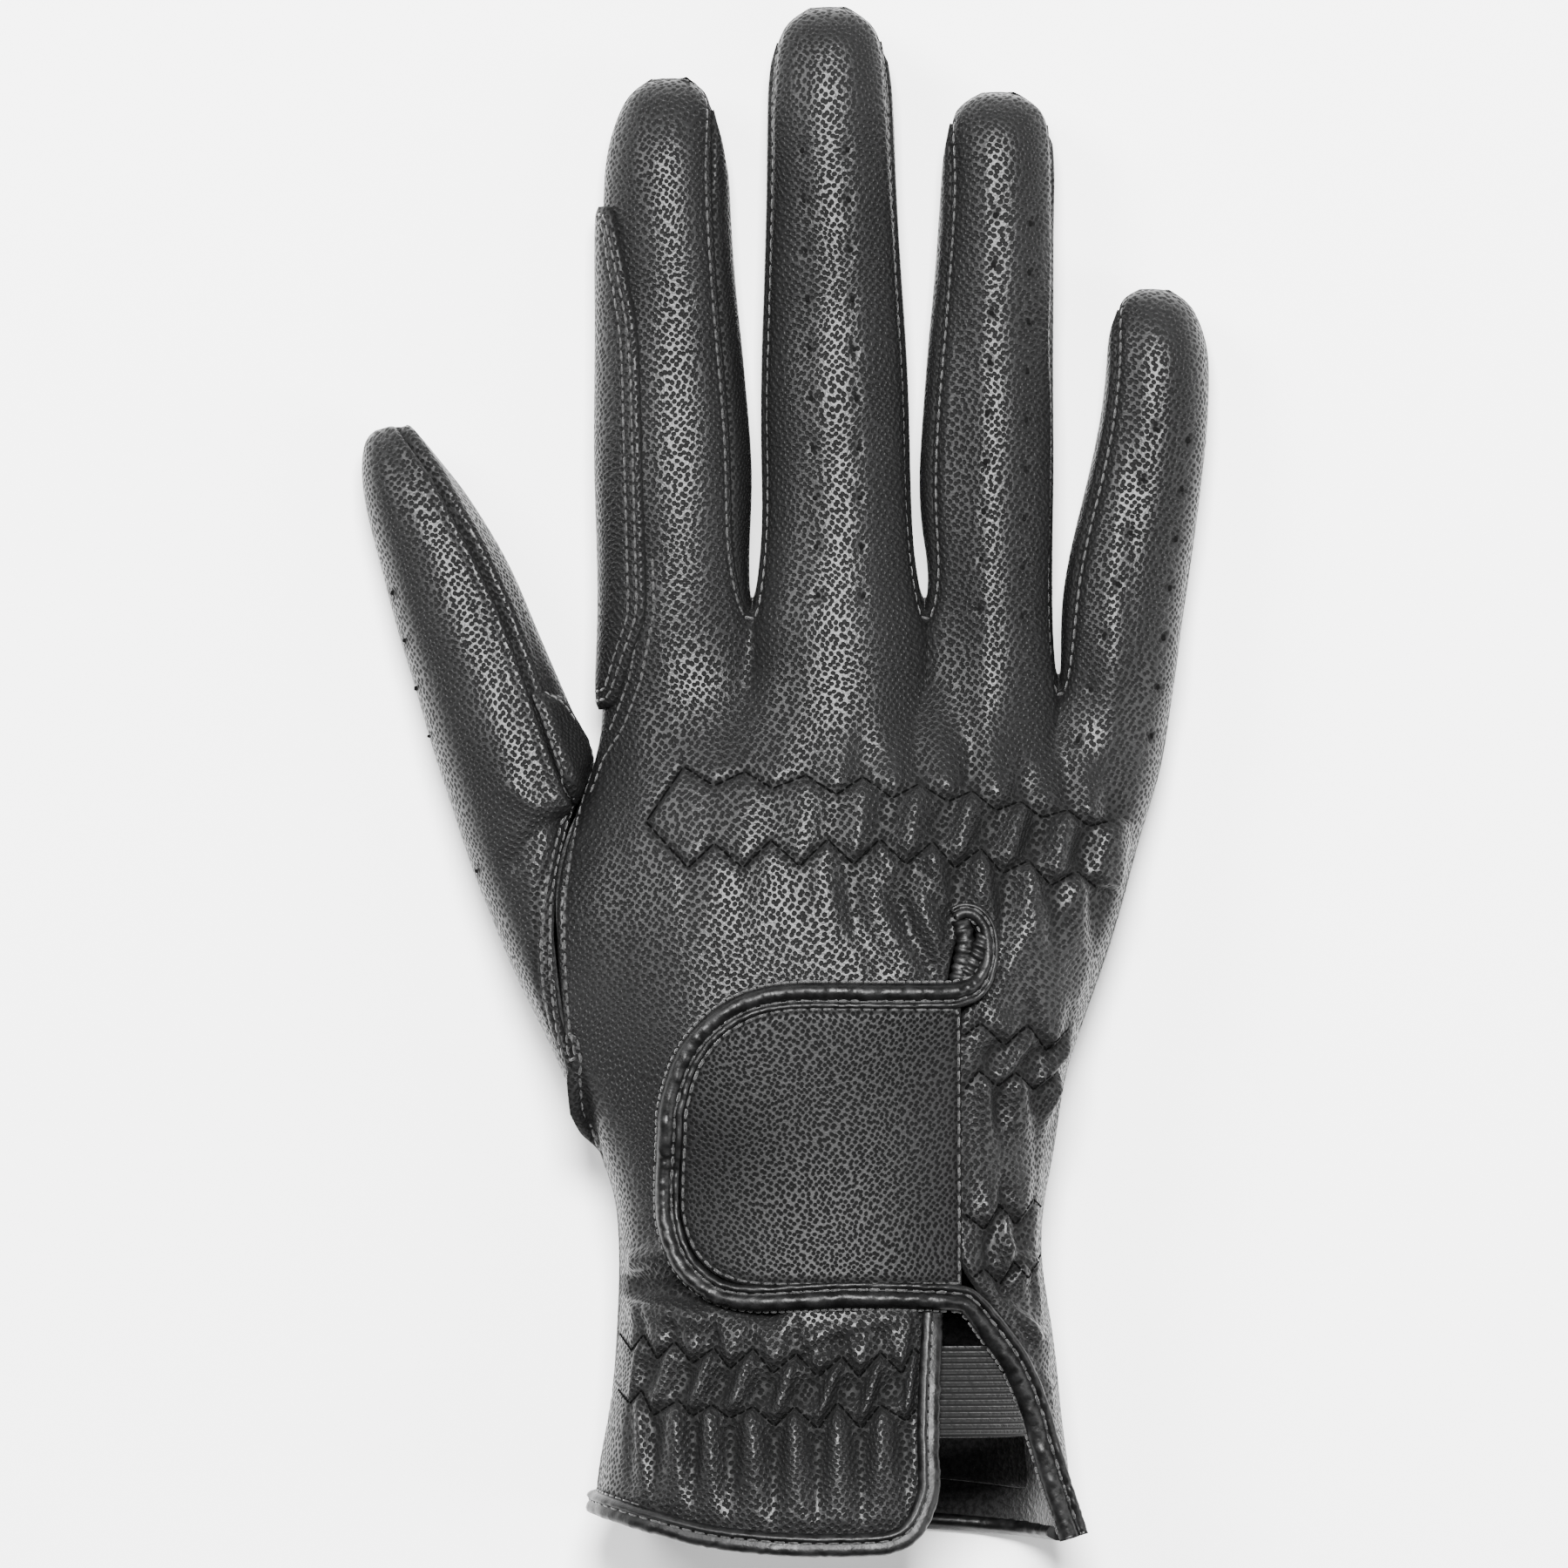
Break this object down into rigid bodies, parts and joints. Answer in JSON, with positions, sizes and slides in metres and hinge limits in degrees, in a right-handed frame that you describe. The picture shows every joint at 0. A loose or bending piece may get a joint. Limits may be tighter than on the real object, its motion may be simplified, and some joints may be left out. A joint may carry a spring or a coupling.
{
  "type": "horse riding glove",
  "caption": "Right-hand riding glove of black grained synthetic leather with a bound closing tab at the wrist, lying palm down with the back of the hand up.",
  "frame": {"origin": "middle of the bottom of the box round the glove, on the surface that the palm rests on", "axes": "+Y from the cuff to the fingertips, +X from the thumb to the little finger, +Z out of the back of the hand"},
  "size_m": [0.1348, 0.2466, 0.0463],
  "materials": {
    "grain_leather": "pebbled matte synthetic leather with fine dark pits",
    "smooth_leather": "smooth, satin gloss, lightly wrinkled",
    "elastic": "ribbed woven elastic",
    "lining": "brushed knit, matte"
  },
  "bodies": {
    "root": {"back_panel": "grain_leather", "palm_panel": "grain_leather", "fourchette_index_middle": "grain_leather", "fourchette_middle_ring": "grain_leather", "fourchette_ring_pinky": "grain_leather", "thumb_panel": "grain_leather", "thumb_web_patch": "grain_leather", "rein_patch": "grain_leather", "wrist_tab": "grain_leather", "tab_binding": "smooth_leather", "cuff_binding": "smooth_leather", "slit_elastic": "elastic", "cuff_lining": "lining"}
  },
  "joints": []
}
